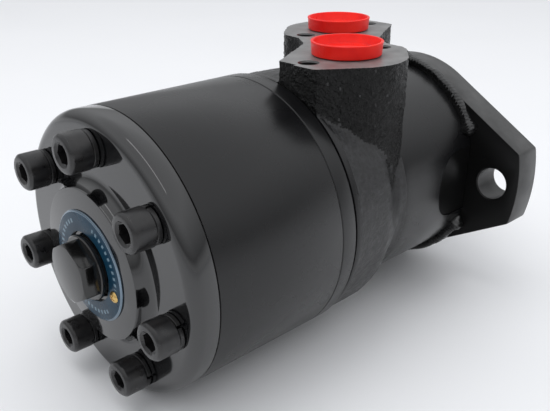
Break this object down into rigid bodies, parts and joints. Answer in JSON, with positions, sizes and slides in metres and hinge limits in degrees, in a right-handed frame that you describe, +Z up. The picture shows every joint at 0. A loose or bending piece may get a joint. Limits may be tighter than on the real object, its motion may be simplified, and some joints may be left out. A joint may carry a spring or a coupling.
{
  "type": "hydraulic motor",
  "caption": "Cylindrical orbital hydraulic motor with a screwed end cover, a lobed port pad with capped ports, a lugged mounting flange with a round pilot, and a keyed output shaft.",
  "frame": {"origin": "on the shaft axis, in the plane of the mounting face that bolts to the driven machine", "axes": "+X along the shaft and out of its end, +Z up through the port pad, so the mounting lugs reach along Y"},
  "size_m": [0.2285, 0.131, 0.1134],
  "materials": {
    "black_paint": "gloss black enamel over machined steel and cast iron",
    "black_oxide": "black oxide on steel, lightly oiled, satin",
    "bright_steel": "ground and turned steel",
    "dark_steel": "dark plated steel",
    "bearing_steel": "polished bearing steel",
    "brass": "brass, satin",
    "red_plastic": "translucent red moulded polyethylene",
    "blue_enamel": "blue enamel face with a bright steel rim",
    "black_rubber": "matt black nitrile rubber"
  },
  "bodies": {
    "motor_body": {"housing": "black_paint", "mounting_flange": "black_paint", "weld_upper_near": "black_paint", "weld_upper_far": "black_paint", "weld_lower": "black_paint", "distributor_plate": "black_paint", "stator_ring": "black_paint", "end_cover": "black_paint", "port_cap_front": "red_plastic", "port_cap_rear": "red_plastic", "drain_plug": "black_oxide", "plug_washer": "dark_steel", "name_ring": "blue_enamel", "name_ring_pin": "brass", "cover_screw_1": "black_oxide", "spring_washer_1": "black_oxide", "cover_screw_2": "black_oxide", "spring_washer_2": "black_oxide", "cover_screw_3": "black_oxide", "spring_washer_3": "black_oxide", "cover_screw_4": "black_oxide", "spring_washer_4": "black_oxide", "cover_screw_5": "black_oxide", "spring_washer_5": "black_oxide", "cover_screw_6": "black_oxide", "spring_washer_6": "black_oxide", "cover_screw_7": "black_oxide", "spring_washer_7": "black_oxide", "oring_cover": "black_rubber", "oring_plate": "black_rubber", "oring_housing": "black_rubber", "shaft_seal": "black_rubber", "dust_seal": "black_rubber", "thrust_washer_front": "bearing_steel", "needle_bearing_cup": "bearing_steel", "retaining_ring": "bearing_steel"},
    "output_shaft": {"output_shaft": "bright_steel", "shaft_key": "bright_steel", "thrust_washer_rear": "bearing_steel"},
    "orbiter": {"drive_spacer": "bright_steel"},
    "rotor": {"rotor": "bright_steel"},
    "drive_link": {"drive_link": "bright_steel"},
    "thrust_cage": {"thrust_bearing_cage": "bearing_steel"},
    "needle_cage": {"needle_bearing_cage": "bearing_steel"},
    "roller_1": {"roller_1": "bright_steel"},
    "roller_2": {"roller_2": "bright_steel"},
    "roller_3": {"roller_3": "bright_steel"},
    "roller_4": {"roller_4": "bright_steel"},
    "roller_5": {"roller_5": "bright_steel"},
    "roller_6": {"roller_6": "bright_steel"},
    "roller_7": {"roller_7": "bright_steel"}
  },
  "joints": [
    {"name": "shaft_spin", "type": "hinge", "parent": "motor_body", "child": "output_shaft", "pos_m": [0, 0, 0], "axis": [1, 0, 0], "continuous": true},
    {"name": "rotor_orbit", "type": "hinge", "parent": "motor_body", "child": "orbiter", "pos_m": [-0.134, 0, 0], "axis": [1, 0, 0], "continuous": true},
    {"name": "rotor_spin", "type": "hinge", "parent": "orbiter", "child": "rotor", "pos_m": [-0.134, 0.00107, 0.00237], "axis": [1, 0, 0], "continuous": true},
    {"name": "link_spin", "type": "hinge", "parent": "orbiter", "child": "drive_link", "pos_m": [-0.134, 0.00107, 0.00237], "axis": [0.9996, -0.0121, -0.0269], "continuous": true},
    {"name": "thrust_cage_spin", "type": "hinge", "parent": "motor_body", "child": "thrust_cage", "pos_m": [-0.0244, 0, 0], "axis": [1, 0, 0], "continuous": true},
    {"name": "needle_cage_spin", "type": "hinge", "parent": "motor_body", "child": "needle_cage", "pos_m": [-0.0107, 0, 0], "axis": [1, 0, 0], "continuous": true},
    {"name": "roller_1_spin", "type": "hinge", "parent": "motor_body", "child": "roller_1", "pos_m": [-0.134, 0.01111, 0.02461], "axis": [1, 0, 0], "continuous": true},
    {"name": "roller_2_spin", "type": "hinge", "parent": "motor_body", "child": "roller_2", "pos_m": [-0.134, -0.01232, 0.02403], "axis": [1, 0, 0], "continuous": true},
    {"name": "roller_3_spin", "type": "hinge", "parent": "motor_body", "child": "roller_3", "pos_m": [-0.134, -0.02646, 0.00535], "axis": [1, 0, 0], "continuous": true},
    {"name": "roller_4_spin", "type": "hinge", "parent": "motor_body", "child": "roller_4", "pos_m": [-0.134, -0.02068, -0.01735], "axis": [1, 0, 0], "continuous": true},
    {"name": "roller_5_spin", "type": "hinge", "parent": "motor_body", "child": "roller_5", "pos_m": [-0.134, 0.00067, -0.02699], "axis": [1, 0, 0], "continuous": true},
    {"name": "roller_6_spin", "type": "hinge", "parent": "motor_body", "child": "roller_6", "pos_m": [-0.134, 0.02152, -0.0163], "axis": [1, 0, 0], "continuous": true},
    {"name": "roller_7_spin", "type": "hinge", "parent": "motor_body", "child": "roller_7", "pos_m": [-0.134, 0.02617, 0.00666], "axis": [1, 0, 0], "continuous": true}
  ],
  "couplings": [
    {"joint": "rotor_orbit", "follows": "shaft_spin", "ratio": -6},
    {"joint": "rotor_spin", "follows": "shaft_spin", "ratio": 7},
    {"joint": "link_spin", "follows": "shaft_spin", "ratio": 7},
    {"joint": "thrust_cage_spin", "follows": "shaft_spin", "ratio": 0.5},
    {"joint": "needle_cage_spin", "follows": "shaft_spin", "ratio": 0.446},
    {"joint": "roller_1_spin", "follows": "shaft_spin", "ratio": -3.8655},
    {"joint": "roller_2_spin", "follows": "shaft_spin", "ratio": -3.8655},
    {"joint": "roller_3_spin", "follows": "shaft_spin", "ratio": -3.8655},
    {"joint": "roller_4_spin", "follows": "shaft_spin", "ratio": -3.8655},
    {"joint": "roller_5_spin", "follows": "shaft_spin", "ratio": -3.8655},
    {"joint": "roller_6_spin", "follows": "shaft_spin", "ratio": -3.8655},
    {"joint": "roller_7_spin", "follows": "shaft_spin", "ratio": -3.8655}
  ]
}
